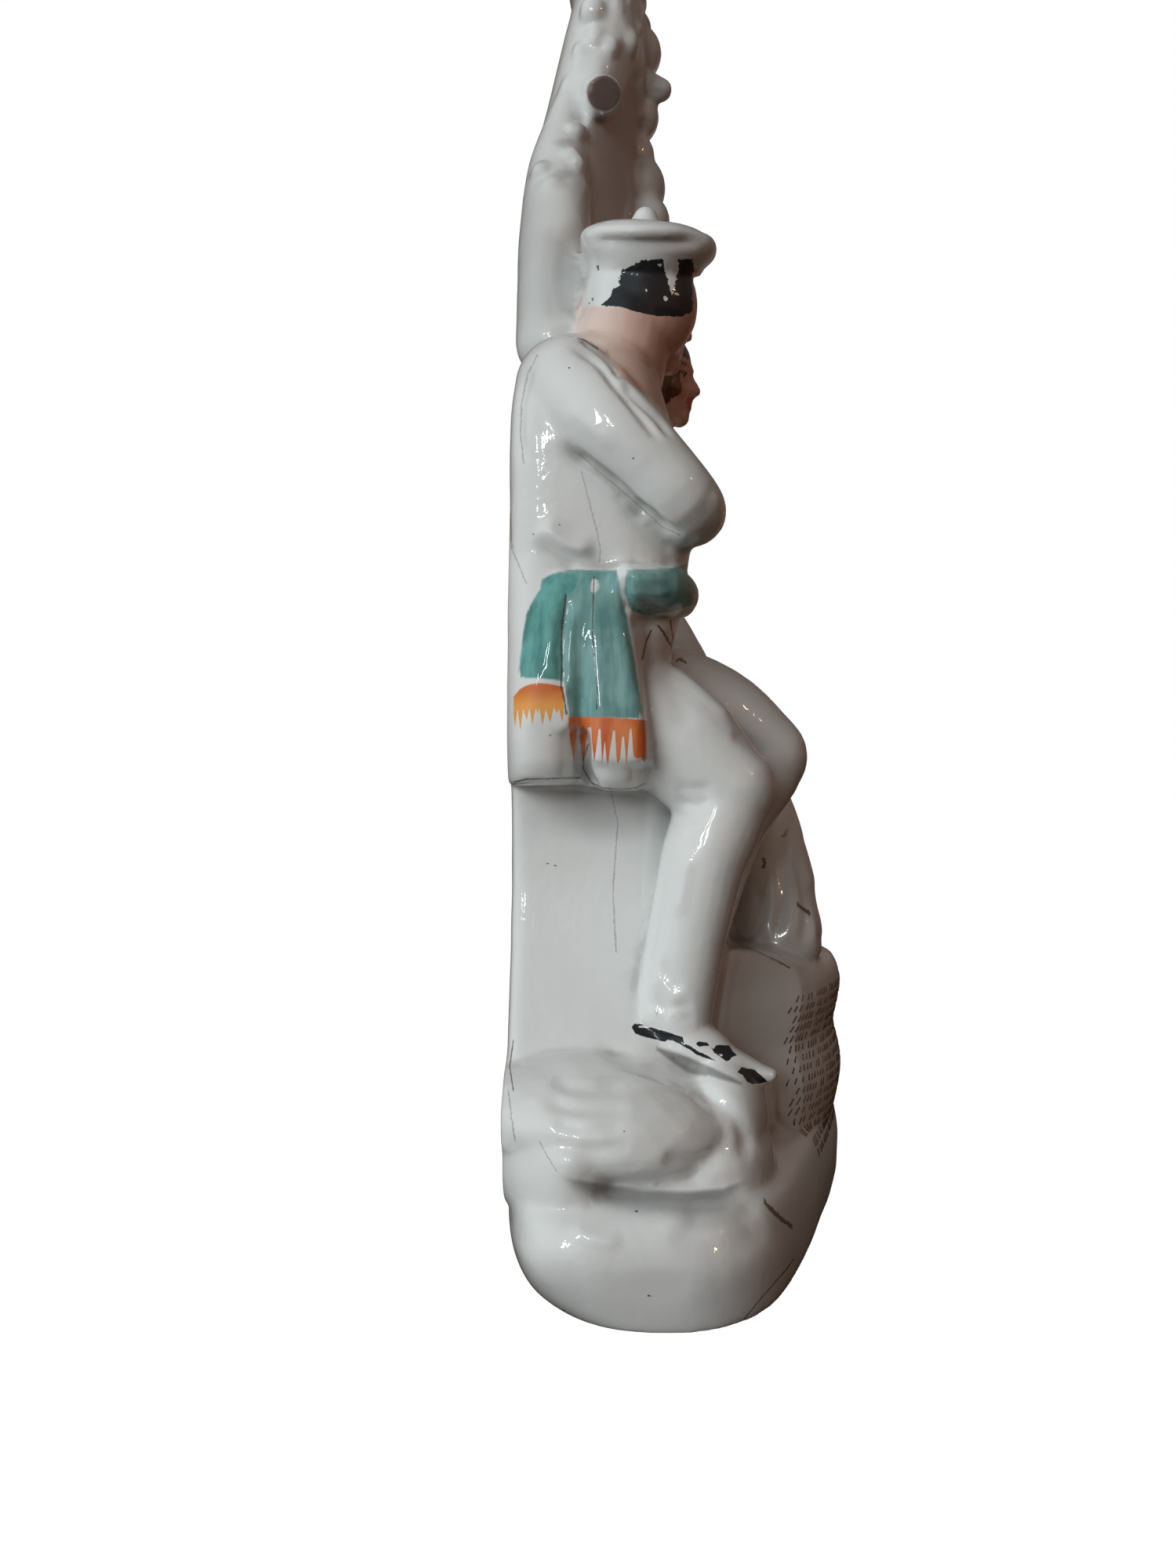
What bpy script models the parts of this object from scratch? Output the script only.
"""Figural spill vase: a seated man and woman before a hollow tree, in one piece of glazed earthenware.

Metres, +Z up. The front faces -Y and the flat back +Y, and the man sits on the -X side.
The origin is under the middle of the base.
"""

import math

import bmesh
import bpy
from mathutils import Matrix, Vector

# The whole piece
HEIGHT = 0.312
WIDTH = 0.205
DEPTH = 0.0805
CLAY_WALL = 0.0040
VENT_DIAMETER = 0.007
FOOT_GRIND = 0.0003

# How finely the forms are joined, how often the skin is smoothed, and how many triangles it keeps
CLAY_GRAIN = 0.0014
CLAY_PASSES = 6
CLAY_TRIANGLES = 7000
HOLLOW_GRAIN = 0.0020
HOLLOW_PASSES = 8
HOLLOW_TRIANGLES = 2300

# Carved forms are shares of the piece's own size. They are written in millimetres on a piece of this size.
CARVED_FOR = Vector((205.0, 80.5, 312.0))
SHARE = Vector((WIDTH / CARVED_FOR.x, DEPTH / CARVED_FOR.y, HEIGHT / CARVED_FOR.z))
BACK_Y = 40.0
RING_POINTS = 40
LIMB_SIDES = 24
PATH_STEPS = 5

GLAZE_COLOUR = (0.80, 0.80, 0.77, 1.0)
GLAZE_ROUGHNESS = 0.12

# The base's outline from above: half its length, its front and middle, how much the bow loses towards
# the ends, how round it is in the middle, how square the ends are in front, and how square the back is at
# the foot and further up
BASE_HALF = 102.5
BASE_FRONT = -40.0
BASE_MIDDLE_Y = 8.0
BASE_TAPER = 0.657
BASE_BOW = 0.2
BASE_END_ROUND = 14
FOOT_SQUARE = 3.0
ROCK_SQUARE = 7.0
ROCK_SQUARE_FROM = 12.0

# Height of each level of the rock, and how far it stands in from the outline
ROCK_LEVELS = (
    (0.0, 0.8), (2.0, 0.3), (6.0, 0.0), (10.0, 0.0), (15.0, 0.9), (18.5, 2.6), (20.6, 6.0),
    (22.6, 10.4), (25.0, 11.6), (31.0, 12.0), (36.0, 17.0), (40.0, 27.0), (44.0, 40.0),
)

# Levels of the rock seat: height, left end, right end, front
SEAT_LEVELS = (
    (36.0, -81.0, 86.0, -9.0), (44.0, -78.0, 82.0, -7.0), (52.0, -73.0, 78.0, -5.0),
    (62.0, -67.5, 74.0, -5.0), (76.0, -64.0, 70.0, -5.0), (90.0, -64.0, 64.0, -5.0),
    (99.0, -66.0, 56.0, -2.0), (108.0, -62.0, 46.0, 6.0),
)

# Levels of the tree: height, half its width, front, back, and how square its front half is
TREE_LEVELS = (
    (90.0, 50.0, 10.0, 40.0, 2.5), (120.0, 47.0, 11.0, 40.0, 2.5), (150.0, 44.0, 11.6, 40.0, 2.5),
    (175.0, 40.0, 12.0, 40.0, 2.5), (190.0, 37.0, 12.0, 40.0, 2.5), (205.0, 33.0, 11.6, 40.0, 2.2),
    (222.0, 30.0, 10.4, 40.0, 1.6), (237.0, 28.0, 9.5, 40.0, 1.25), (250.0, 26.6, 9.2, 39.0, 1.25),
    (260.0, 25.4, 9.4, 36.4, 1.3), (267.0, 24.8, 9.2, 34.6, 1.6), (275.0, 24.2, 8.8, 32.6, 2.1),
    (284.0, 23.6, 8.8, 30.4, 2.5), (291.0, 23.0, 9.4, 28.6, 2.5), (297.0, 22.8, 9.6, 28.0, 2.5),
    (303.0, 23.4, 9.2, 28.4, 2.5), (312.0, 24.6, 7.8, 30.0, 2.5),
)
TREE_SQUARE = 2.5

# The verse stone: half its length, the front of its slanting ends, half its face's length, the front of the
# face's ends and middle, and how far each level stands in
STONE_HALF = 64.0
STONE_SIDE = -6.0
FACE_HALF = 49.0
STONE_ENDS = -23.5
STONE_MIDDLE = -39.4
STONE_LEVELS = (
    (13.0, 4.0), (18.0, 2.0), (23.0, 0.8), (29.0, 0.0), (34.0, 0.8), (39.0, 2.0),
    (44.0, 1.0), (49.0, 0.2), (54.0, 0.8), (57.0, 2.4),
)


def superellipse(height, middle, half_width, front, back, power_front, power_back):
    """A closed ring of points at one height, rounder or squarer in front than behind."""
    points = []
    split = middle[1]
    for k in range(RING_POINTS):
        angle = math.tau * k / RING_POINTS
        across, along = math.cos(angle), math.sin(angle)
        power = power_back if along > 0 else power_front
        reach = back - split if along > 0 else split - front
        x = middle[0] + half_width * math.copysign(abs(across) ** (2 / power), across)
        y = split + reach * math.copysign(abs(along) ** (2 / power), along)
        points.append(Vector((x, y, height)))
    return points


def base_ring(height, inset):
    """The base's outline at one height: bowed in front, narrowing to round ends, and flat behind."""
    square = FOOT_SQUARE + (ROCK_SQUARE - FOOT_SQUARE) * min(1.0, height / ROCK_SQUARE_FROM)
    half, front = BASE_HALF - inset, BASE_FRONT + 0.9 * inset
    points = []
    for k in range(RING_POINTS):
        angle = math.tau * k / RING_POINTS
        across, along = math.cos(angle), math.sin(angle)
        if along > 0:
            share = abs(across) ** (2 / square)
            reach = (BACK_Y - BASE_MIDDLE_Y) * along ** (2 / square)
        else:
            share = abs(across) ** 0.8
            slant = (math.hypot(share, BASE_BOW) - BASE_BOW) / (math.hypot(1, BASE_BOW) - BASE_BOW)
            bow = (1 - BASE_TAPER * slant) * math.sqrt(max(0.0, 1 - share**BASE_END_ROUND))
            reach = (front - BASE_MIDDLE_Y) * bow
        points.append(Vector((half * math.copysign(share, across), BASE_MIDDLE_Y + reach, height)))
    return points


def seat_ring(level):
    height, left, right, front = level
    return superellipse(height, ((left + right) / 2, 16), (right - left) / 2, front, BACK_Y, 2.6, 30.0)


def tree_ring(level, wall=0.0):
    height, half_width, front, back, front_square = level
    return superellipse(
        height, (0, (front + back) / 2), half_width - wall, front + wall, back - wall,
        front_square, TREE_SQUARE,
    )


def smoothed(rows):
    """Rows of numbers, with more read between them along a smooth curve through them all."""
    first = [2 * a - b for a, b in zip(rows[0], rows[1])]
    last = [2 * a - b for a, b in zip(rows[-1], rows[-2])]
    ends = [first, *rows, last]
    found = []
    for k in range(len(rows) - 1):
        for step in range(PATH_STEPS):
            t = step / PATH_STEPS
            found.append([
                0.5 * (2 * p1 + (p2 - p0) * t + (2 * p0 - 5 * p1 + 4 * p2 - p3) * t * t
                       + (3 * p1 - p0 - 3 * p2 + p3) * t**3)
                for p0, p1, p2, p3 in zip(*ends[k : k + 4])
            ])
    return [*found, list(rows[-1])]


def new_object(name, shape):
    """A bmesh made an object, and freed."""
    mesh = bpy.data.meshes.new(name)
    shape.to_mesh(mesh)
    shape.free()
    obj = bpy.data.objects.new(name, mesh)
    bpy.context.scene.collection.objects.link(obj)
    return obj


def settle(obj):
    """The object's modifiers made part of its mesh."""
    graph = bpy.context.evaluated_depsgraph_get()
    mesh = bpy.data.meshes.new_from_object(obj.evaluated_get(graph))
    obj.modifiers.clear()
    obj.data = mesh


def join(obj, grain, passes):
    """Everything in the object made one closed skin, then smoothed."""
    remesh = obj.modifiers.new("join", "REMESH")
    remesh.mode = "VOXEL"
    remesh.voxel_size = grain
    blend = obj.modifiers.new("blend", "SMOOTH")
    blend.factor = 0.5
    blend.iterations = passes
    settle(obj)


def thin_out(obj, triangles):
    fewer = obj.modifiers.new("fewer", "DECIMATE")
    fewer.ratio = triangles / (2 * len(obj.data.polygons))
    settle(obj)


class Clay:
    """Overlapping closed forms in one mesh, joined into a single skin when it is fired."""

    def __init__(self):
        self.mesh = bmesh.new()

    def loft(self, rings):
        """A skin over rings of equally many points, closed by a cap at each end."""
        rows = [[self.mesh.verts.new(point) for point in ring] for ring in rings]
        for low, high in zip(rows, rows[1:]):
            for k in range(len(low)):
                after = (k + 1) % len(low)
                self.mesh.faces.new((low[k], low[after], high[after], high[k]))
        self.mesh.faces.new(rows[0][::-1])
        self.mesh.faces.new(rows[-1])

    def ball(self, centre, radii, turn=0.0, tip=0.0):
        """An ellipsoid, turned about +Z and then tipped about its own +X, in degrees."""
        place = (
            Matrix.Translation(centre)
            @ Matrix.Rotation(math.radians(turn), 4, "Z")
            @ Matrix.Rotation(math.radians(tip), 4, "X")
            @ Matrix.Diagonal((*radii, 1))
        )
        bmesh.ops.create_icosphere(self.mesh, subdivisions=3, radius=1, matrix=place)

    def limb(self, points, radii, flat=1.0, cut=False):
        """A limb along a smooth path, round-ended unless cut. flat is its height over its width."""
        rows = smoothed([(*point, radius) for point, radius in zip(points, radii)])
        path, widths = [Vector(row[:3]) for row in rows], [row[3] for row in rows]
        rings = []
        start = (path[1] - path[0]).normalized()
        side = start.cross((0, 0, 1)) if abs(start.z) < 0.95 else start.cross((1, 0, 0))
        for k, (centre, width) in enumerate(zip(path, widths)):
            ahead = (path[min(k + 1, len(path) - 1)] - path[max(k - 1, 0)]).normalized()
            side = (side - ahead * side.dot(ahead)).normalized()
            up = side.cross(ahead)
            rings.append([
                centre + width * (side * math.cos(a) + up * flat * math.sin(a))
                for a in (math.tau * s / LIMB_SIDES for s in range(LIMB_SIDES))
            ])
        self.loft(rings)
        for centre, width in ((path[0], widths[0]), (path[-1], widths[-1]))[: 1 if cut else 2]:
            self.ball(centre, (width, width, width * flat))

    def turned(self, profile, centre, tip_forward, tip_aside):
        """A form turned about an upright axis from (radius, height) pairs, then tipped, in degrees."""
        tip = (
            Matrix.Rotation(math.radians(tip_aside), 3, "Y")
            @ Matrix.Rotation(math.radians(tip_forward), 3, "X")
        )
        self.loft([
            [Vector(centre) + tip @ Vector((radius * math.cos(a), radius * math.sin(a), height))
             for a in (math.tau * s / RING_POINTS for s in range(RING_POINTS))]
            for radius, height in profile
        ])

    def fired(self, name):
        """The forms joined into one skin, blended where they meet, as an object in metres."""
        for co, no in (((0, BACK_Y, 0), (0, 1, 0)), ((0, 0, 0), (0, 0, -1))):
            everything = [*self.mesh.verts, *self.mesh.edges, *self.mesh.faces]
            cut = bmesh.ops.bisect_plane(
                self.mesh, geom=everything, plane_co=co, plane_no=no, clear_outer=True
            )
            rims = [e for e in cut["geom_cut"] if isinstance(e, bmesh.types.BMEdge)]
            bmesh.ops.edgeloop_fill(self.mesh, edges=[e for e in rims if e.is_boundary])
        bmesh.ops.recalc_face_normals(self.mesh, faces=self.mesh.faces)
        bmesh.ops.transform(
            self.mesh, verts=self.mesh.verts, matrix=Matrix.Diagonal((*SHARE, 1))
        )
        obj = new_object(name, self.mesh)
        join(obj, CLAY_GRAIN, CLAY_PASSES)
        return obj


def rock_base(clay):
    clay.loft([base_ring(*level) for level in smoothed(ROCK_LEVELS)])
    clay.loft([seat_ring(level) for level in smoothed(SEAT_LEVELS)])
    for end in (-1, 1):
        clay.ball((end * 72, 20.5, 31), (26, 29, 13.5), turn=end * -3, tip=6)
        clay.ball((end * 72, 20, 29.5), (26, 26.5, 9), turn=end * -3, tip=6)
        clay.ball((end * 73, 30, 22.5), (24, 9, 11))
        clay.ball((end * 77, -1.5, 22), (15.5, 11, 13), turn=end * 24)
        clay.ball((end * 74, -3, 31), (14, 9, 12), turn=end * 10)
    clay.limb([(88, 13, 38), (77, 15, 57), (66, 19, 79), (54, 23, 103)], [14, 14, 13, 12])
    clay.limb([(78, -6, 40), (72, 2, 56), (61, 8, 78), (51, 12, 94)], [10, 11, 11, 9])
    clay.ball((78, 12, 62), (9, 14, 8))
    clay.ball((66, 16, 86), (9, 12, 8))


def verse_stone(clay):
    """The low block across the front that carries the panel, its face waved like a scroll."""
    rings = []
    for height, inset in smoothed(STONE_LEVELS):
        half, side = STONE_HALF - 0.4 * inset, STONE_SIDE + 0.2 * (57 - height)
        ring = [Vector((-half, 12, height)), Vector((-half, side, height))]
        for k in range(17):
            share = -1 + k / 8
            front = STONE_MIDDLE + (STONE_ENDS - STONE_MIDDLE) * abs(share) ** 2.6
            ring.append(Vector((FACE_HALF * share, front + inset, height)))
        ring += [Vector((half, side, height)), Vector((half, 12, height))]
        if height > 50:
            for point in ring:
                point.z += 0.34 * max(-6.0, min(14.0, point.y + 20))
        rings.append(ring)
    clay.loft(rings)


def tree(clay):
    clay.loft([tree_ring(level) for level in smoothed(TREE_LEVELS)])
    clay.limb([(-46, 32, 194), (-41, 31.5, 207), (-34, 31.5, 222), (-27, 31, 240), (-22, 29.5, 254),
               (-18, 26, 270)], [8, 8.5, 8.5, 7.6, 5.6, 3.4])
    clay.limb([(-8, 24, 268), (-20, 22.5, 263.6), (-29, 19.6, 259.4)], [6.0, 4.8, 4.4], cut=True)
    clay.limb([(-4, 11, 276), (-6, 5.0, 274.0)], [5.0, 2.8])
    clay.limb([(16, 20, 222), (28, 18, 238), (35, 17, 250)], [8.5, 6.6, 5.6], cut=True)
    clay.limb([(12, 19, 276), (22, 18, 284)], [6.0, 4.4], cut=True)
    for centre, radius in (
        ((0, 12.5, 251.5), 9.0), ((-2, 9.5, 242), 7), ((7, 13, 247), 7.5), ((10, 12, 236), 7),
        ((-27.5, 27, 251), 3.0), ((-31.5, 28.2, 242), 3.4), ((-32.5, 26.8, 240.5), 2.6),
        ((-30.5, 27, 235), 4.0), ((-35.5, 32, 233), 3.6), ((-36, 29.5, 229.5), 3.0), ((-36.5, 33, 226), 3.0), ((-34, 34.5, 238), 2.8),
        ((24, 23, 229), 6), ((29, 21, 216), 6), ((-6, 13, 226), 6), ((18, 14, 222), 6),
        ((-3, 12, 285), 7.2), ((8, 12.5, 281), 7), ((-13, 17, 280), 6.0), ((15, 15, 262), 6),
        ((-2, 12, 269), 6.6), ((6, 12.5, 264), 5.6), ((24, 22, 246), 5.4), ((0, 13, 230), 7),
        ((16, 15, 291), 5.6), ((-2, 12.5, 259), 6.0), ((18, 15, 248), 6.4), ((0, 12.5, 293), 5.4),
    ):
        clay.ball(centre, (radius, radius, radius))


def man(clay):
    """He sits upright against the tree, his far arm behind her and his near hand on hers."""
    body = (
        (112, -57, 17.0, 8.0, 40), (124, -57, 17.5, 6.0, 40), (134, -57, 17.0, 4.0, 40),
        (140, -56.5, 17.6, 3.0, 40), (147, -56, 18.6, 2.0, 40), (156, -55.5, 19.6, 1.6, 40),
        (166, -55, 20.4, 4.4, 40), (175, -54, 20.0, 6.8, 39.5), (182, -53.5, 17.0, 8.8, 38),
        (187.5, -53, 12.5, 10.5, 34.5), (191, -53, 8.0, 13, 30),
    )
    clay.loft([
        superellipse(height, (x, (front + back) / 2), half, front, back, 2.4, 6.0)
        for height, x, half, front, back in smoothed(body)
    ])
    coat_tails(clay)
    clay.limb([(-66, 28, 177), (-71, 20, 168), (-72, 11, 159), (-70.5, 4.6, 152.6), (-58, 1.5, 153.5),
               (-37, -0.5, 159)], [11, 9.9, 8.6, 7.9, 6.6, 5.0])
    clay.limb([(-36, 23, 176), (-20, 15, 177), (0, 12, 177), (21, 8.5, 170)], [9, 6.8, 6, 4.6])
    clay.ball((24, 5.0, 167), (5.0, 3.2, 5.0))
    clay.limb([(-53, 18.5, 182), (-51.5, 15.5, 196)], [10.4, 10.6])
    clay.ball((-50.5, 13.2, 200), (11.2, 13.4, 13.4), turn=-14)
    clay.ball((-46.5, 7.2, 192.0), (7.8, 7.8, 7.0), turn=-30)
    clay.ball((-44.6, 2.1, 196.4), (2.6, 3.2, 3.8), turn=-30)
    bonnet = (
        (1.0, -1.2), (12.4, -1.2), (12.8, 0.4), (14.0, 1.2), (15.2, 2.6), (15.6, 4.4), (14.6, 6.2),
        (11.4, 7.8), (5.4, 8.8), (1.0, 9.0),
    )
    clay.turned(bonnet, (-51, 11.6, 208.9), 3, -17)
    clay.ball((-52.6, 11.4, 218.2), (3.0, 3.0, 3.2))
    clay.limb([(-44, 18, 211), (-30, 20, 212)], [7, 8])
    clay.limb([(-44, 18, 197), (-30, 20, 197)], [8, 9])
    clay.limb([(-57, 28.5, 190), (-63, 23, 186), (-65.4, 18, 179.6), (-62.2, 12.5, 172), (-55, 6, 165)],
              [2.4, 2.5, 2.4, 2.2, 1.8])
    clay.limb([(-62, 20, 114), (-65, 6, 105), (-66, -4.2, 95.5)], [13.4, 12.0, 10.6])
    clay.limb([(-66, -4.2, 95.5), (-67.5, -2.1, 87.7), (-68.5, 0.4, 81), (-69, 2.4, 72), (-69.5, 4.4, 63),
               (-70, 7.1, 48.5)], [10.2, 9.3, 8.8, 8.3, 8.0, 8.0], cut=True)
    clay.limb([(-44, 14, 118), (-41, -4, 112), (-39, -15.5, 102.5)], [12.4, 11.4, 10.6])
    clay.limb([(-39, -14.5, 100), (-40, -7, 87), (-43, -1, 70), (-45, 3, 54)], [10.4, 9.6, 8.8, 8.0])
    clay.ball((-50, 2, 70), (8, 8, 24))
    shoe([(-71, 11.5, 47.0), (-73, 2, 44.0), (-74.5, -11.5, 38.8)], clay)
    shoe([(-47, 6, 50), (-47, -5, 47.5), (-47.5, -17.5, 44.5)], clay)


def coat_tails(clay):
    """The coat's two hanging tails on his near side, and the sash with its two ends over them."""
    for front, back, foot in ((24.0, 41.5, 96.0), (11.0, 25.5, 95.0)):
        rings = []
        for rise, half in (
            (0, 15.5), (1.6, 18.2), (4.5, 19.8), (9, 20.4), (18, 19.8), (32, 17.6), (44, 14.6), (56, 8),
        ):
            spread = 0.05 * max(0, 14 - rise)
            rings.append(superellipse(
                foot + rise, (-60, (front + back) / 2), half, front + spread, back - spread, 2.6, 2.6
            ))
        clay.loft(rings)
    for sash_end in (
        ((106.5, 20.6, 24.4, 38.2), (112, 20.8, 24.4, 37.8), (122, 20.4, 24.2, 36.2), (132, 19, 24, 33.4),
         (138, 16.5, 23.6, 31)),
        ((100.2, 21.0, 11.2, 24.6), (106, 21.6, 11.2, 25.2), (118, 20.8, 12.6, 26.6), (130, 19.4, 14.4, 28),
         (139, 16.8, 16, 27)),
    ):
        clay.loft([
            superellipse(height, (-60, (front + back) / 2), half, front, back, 5, 5)
            for height, half, front, back in smoothed(sash_end)
        ])
    clay.limb([(-76, 15, 135.5), (-72, 8.5, 135.5), (-61, 5.2, 136), (-46, 4.0, 137)],
              [4.8, 4.8, 4.6, 4.4], flat=0.95)


def shoe(points, clay):
    """A low pointed shoe from its heel to its toe."""
    clay.limb(points, [4.4, 5.4, 2.6], flat=0.62)
    heel, instep = Vector(points[0]), Vector(points[1])
    clay.ball(heel.lerp(instep, 0.8) + Vector((0, 0, 2.0)), (4.8, 9.5, 3.2), tip=20)


def woman(clay):
    """She leans towards him, a hand in his and the other in her lap, in a long full skirt."""
    body = (
        (100, 17, 27.0, -2.0, 40), (115, 15, 20.5, 0.0, 40), (128, 13, 14.5, 2.0, 37),
        (137, 10.5, 12.6, 3.0, 35), (148, 8.5, 15.0, -0.5, 35), (159, 7, 17.0, -3.0, 35),
        (168, 5.5, 17.6, 0.5, 33), (176, 3, 15.0, 4.0, 29), (182, 0, 9.5, 5.0, 22), (186, -2, 5.6, 6, 18),
    )
    clay.loft([
        superellipse(height, (x, (front + back) / 2), half, front, back, 2.2, 2.6)
        for height, x, half, front, back in smoothed(body)
    ])
    skirt = (
        (48, 13, 56, -35.5), (54, 13, 56, -37.0), (62, 13, 52, -36.5), (72, 12, 47, -35.0),
        (84, 12, 42, -33.5), (95, 12, 37, -29.5), (103, 12, 32, -24.5), (109, 13, 27, -15.0),
        (114, 14, 22, -4.0),
    )
    clay.loft([
        superellipse(height, (x, 6), half, front, 34, 2.1, 3.0)
        for height, x, half, front in smoothed(skirt)
    ])
    clay.limb([(6, 8, 107), (2, -6, 105), (0, -13, 97)], [15, 15, 14.5])
    clay.limb([(22, 8, 107), (26, -5, 104), (27, -11, 96)], [15, 15, 14.5])
    clay.ball((13, -7, 103), (17, 16, 12.5))
    clay.ball((13, -12, 92), (17, 16.5, 16))
    clay.limb([(-12, -12, 100), (-24, -17.5, 80), (-33, -21.0, 62)], [10, 11, 10.5])
    for k in range(9):
        spread = -1 + k / 4
        knee = (12 + 16 * spread, -24 + 8 * spread * spread, 96 - 3 * abs(spread))
        shin = (12 + 31 * spread, -29.5 + 15 * spread * spread, 76)
        hem = (13 + 46 * spread, -34.5 + 20 * spread * spread, 57 + 2 * (k % 2))
        clay.limb([knee, shin, hem], [2.4, 3.4, 4.6])
    clay.limb([(-9, 14, 171), (-16, 6, 160), (-30, 0, 158)], [7.8, 6.2, 4.6])
    clay.limb([(19, 16, 170), (30, 9, 152), (27, -1, 137), (15, -5.5, 128)], [8.2, 7.2, 5.6, 4.4])
    clay.ball((-33, -0.8, 159), (6.2, 5.0, 5.0))
    clay.ball((11, -7, 125.5), (6.5, 5, 4.4))
    clay.limb([(-2, 12, 180), (-7, 10, 191)], [6.0, 5.6])
    clay.ball((-9, 8.4, 197.4), (10.2, 11.2, 12.0), turn=14)
    clay.ball((-10.4, 2.4, 190.4), (6.0, 5.8, 5.8))
    clay.ball((-10.8, -2.6, 193.6), (1.8, 2.0, 2.8))
    clay.limb([(-17, 7, 199), (-18.4, 5, 192), (-17, 5, 186)], [3.0, 3.2, 1.8])
    clay.limb([(0, 7, 199), (1.4, 6, 192), (1, 6, 186)], [3.0, 3.2, 1.8])


def shrunk(skin, depth):
    """The surface that lies this deep inside a skin, as a mesh."""
    volume = bpy.data.objects.new("depths", bpy.data.volumes.new("depths"))
    surface = bpy.data.objects.new("surface", bpy.data.meshes.new("surface"))
    for obj in (volume, surface):
        bpy.context.scene.collection.objects.link(obj)
    depths = volume.modifiers.new("depths", "MESH_TO_VOLUME")
    depths.object = skin
    depths.resolution_mode = "VOXEL_SIZE"
    depths.voxel_size = HOLLOW_GRAIN
    depths.interior_band_width = 2 * depth
    level = surface.modifiers.new("level", "VOLUME_TO_MESH")
    level.object = volume
    level.threshold = 0.5
    settle(surface)
    mesh = surface.data
    for obj in (volume, surface):
        bpy.data.objects.remove(obj)
    return mesh


def only_largest(shape):
    """Drops every piece of a bmesh that isn't joined to its largest one."""
    left, largest = set(shape.verts), set()
    while left:
        start = left.pop()
        piece, edge_of_it = {start}, [start]
        while edge_of_it:
            for edge in edge_of_it.pop().link_edges:
                for vert in edge.verts:
                    if vert in left:
                        left.remove(vert)
                        piece.add(vert)
                        edge_of_it.append(vert)
        largest = max(largest, piece, key=len)
    bmesh.ops.delete(shape, geom=[v for v in shape.verts if v not in largest], context="VERTS")


def hollow(skin):
    """The space inside: as deep as the wall everywhere, and open through the top of the tree."""
    space = Clay()
    wall = CLAY_WALL / min(SHARE)
    levels = [level for level in TREE_LEVELS if level[0] > 230]
    above_mouth = (TREE_LEVELS[-1][0] + wall, *TREE_LEVELS[-1][1:])
    space.loft([tree_ring(level, wall) for level in smoothed((*levels, above_mouth))])
    bmesh.ops.transform(space.mesh, verts=space.mesh.verts, matrix=Matrix.Diagonal((*SHARE, 1)))
    inside = bmesh.new()
    inside.from_mesh(shrunk(skin, CLAY_WALL))
    only_largest(inside)
    main_space = bpy.data.meshes.new("main space")
    inside.to_mesh(main_space)
    inside.free()
    space.mesh.from_mesh(main_space)
    obj = new_object("hollow", space.mesh)
    join(obj, HOLLOW_GRAIN, HOLLOW_PASSES)
    return obj


def vent():
    """The small hole under the base that lets the kiln's steam out."""
    hole = bmesh.new()
    bmesh.ops.create_cone(
        hole, cap_ends=True, segments=24, radius1=VENT_DIAMETER / 2, radius2=VENT_DIAMETER / 2,
        depth=6 * CLAY_WALL, matrix=Matrix.Translation((0, BASE_MIDDLE_Y * SHARE.y, 0)),
    )
    return new_object("vent", hole)


def cut(body, cutter):
    cutter.hide_render = True
    cutter.display_type = "WIRE"
    opening = body.modifiers.new(cutter.name, "BOOLEAN")
    opening.operation = "DIFFERENCE"
    opening.object = cutter


def glaze():
    material = bpy.data.materials.new("white glaze")
    material.use_nodes = True
    shader = material.node_tree.nodes["Principled BSDF"]
    shader.inputs["Base Color"].default_value = GLAZE_COLOUR
    shader.inputs["Roughness"].default_value = GLAZE_ROUGHNESS
    shader.inputs["Metallic"].default_value = 0.0
    return material


def grind_foot(mesh):
    """The underside ground flat, and the piece set with its foot on the origin's level."""
    body = bmesh.new()
    body.from_mesh(mesh)
    everything = [*body.verts, *body.edges, *body.faces]
    bmesh.ops.bisect_plane(
        body, geom=everything, plane_co=(0, 0, FOOT_GRIND), plane_no=(0, 0, -1), clear_outer=True
    )
    bmesh.ops.edgeloop_fill(body, edges=[edge for edge in body.edges if edge.is_boundary])
    xs, ys = [v.co.x for v in body.verts], [v.co.y for v in body.verts]
    shift = Vector((-(min(xs) + max(xs)) / 2, -(min(ys) + max(ys)) / 2, -FOOT_GRIND))
    bmesh.ops.translate(body, verts=body.verts, vec=shift)
    body.to_mesh(mesh)
    body.free()
    return shift


def main():
    for obj in list(bpy.data.objects):
        bpy.data.objects.remove(obj)
    clay = Clay()
    for form in (rock_base, verse_stone, tree, man, woman):
        form(clay)
    group = clay.fired("spill_vase_group")
    inside, hole = hollow(group), vent()
    thin_out(group, CLAY_TRIANGLES)
    thin_out(inside, HOLLOW_TRIANGLES)
    shift = grind_foot(group.data)
    for cutter in (inside, hole):
        cutter.location = shift
        cut(group, cutter)
    group.data.materials.append(glaze())
    group.data.shade_smooth()


main()
